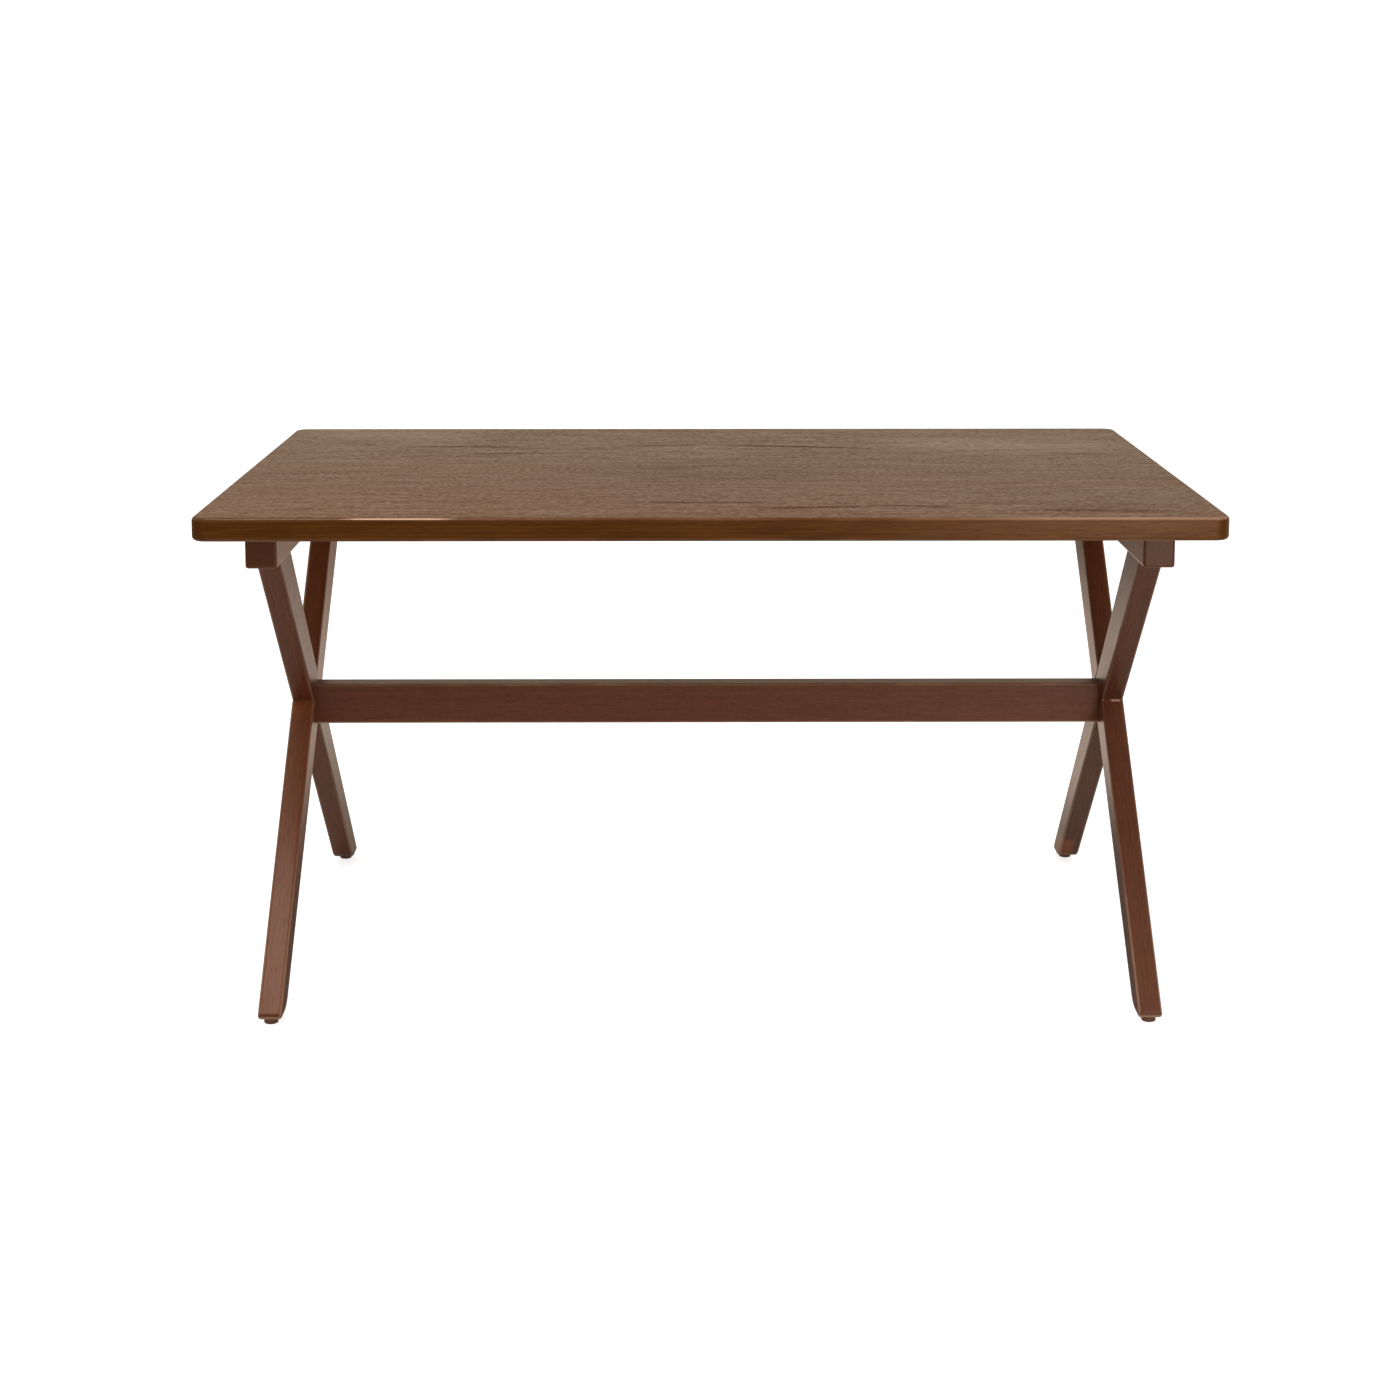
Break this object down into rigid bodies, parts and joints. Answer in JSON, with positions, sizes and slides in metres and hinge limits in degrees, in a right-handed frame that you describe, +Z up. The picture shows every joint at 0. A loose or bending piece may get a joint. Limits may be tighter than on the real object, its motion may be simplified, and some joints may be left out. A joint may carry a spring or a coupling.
{
  "type": "sawbuck table",
  "caption": "Rectangular dining table: an edge-glued wooden top on cleats over crossed half-lapped trestle legs, tied by a bolted lengthwise stretcher.",
  "frame": {"origin": "on the floor, under the centre of the table top", "axes": "+X along the table's length to the right, +Y to the rear, +Z up from the floor"},
  "size_m": [1.4, 0.9, 0.735],
  "materials": {
    "top_wood": "brown stained open-grain wood under satin lacquer",
    "frame_wood": "brown stained open-grain wood under satin lacquer",
    "dowel_wood": "plain beech",
    "bronzed_steel": "dark bronzed steel",
    "fastener_steel": "zinc plated steel",
    "glide_plastic": "brown nylon"
  },
  "bodies": {
    "root": {"top_board_1": "top_wood", "top_board_2": "top_wood", "top_board_3": "top_wood", "top_board_4": "top_wood", "top_board_5": "top_wood", "top_board_6": "top_wood", "top_board_7": "top_wood", "left_cleat": "frame_wood", "right_cleat": "frame_wood", "left_front_leg": "frame_wood", "left_rear_leg": "frame_wood", "right_front_leg": "frame_wood", "right_rear_leg": "frame_wood", "stretcher": "frame_wood", "left_front_glide": "glide_plastic", "left_rear_glide": "glide_plastic", "right_front_glide": "glide_plastic", "right_rear_glide": "glide_plastic", "glide_nails": "fastener_steel", "stretcher_bolts": "bronzed_steel", "stretcher_barrel_nuts": "fastener_steel", "stretcher_dowels": "dowel_wood", "leg_dowels": "dowel_wood", "top_bolts": "fastener_steel", "top_washers": "fastener_steel", "top_inserts": "fastener_steel"}
  },
  "joints": []
}
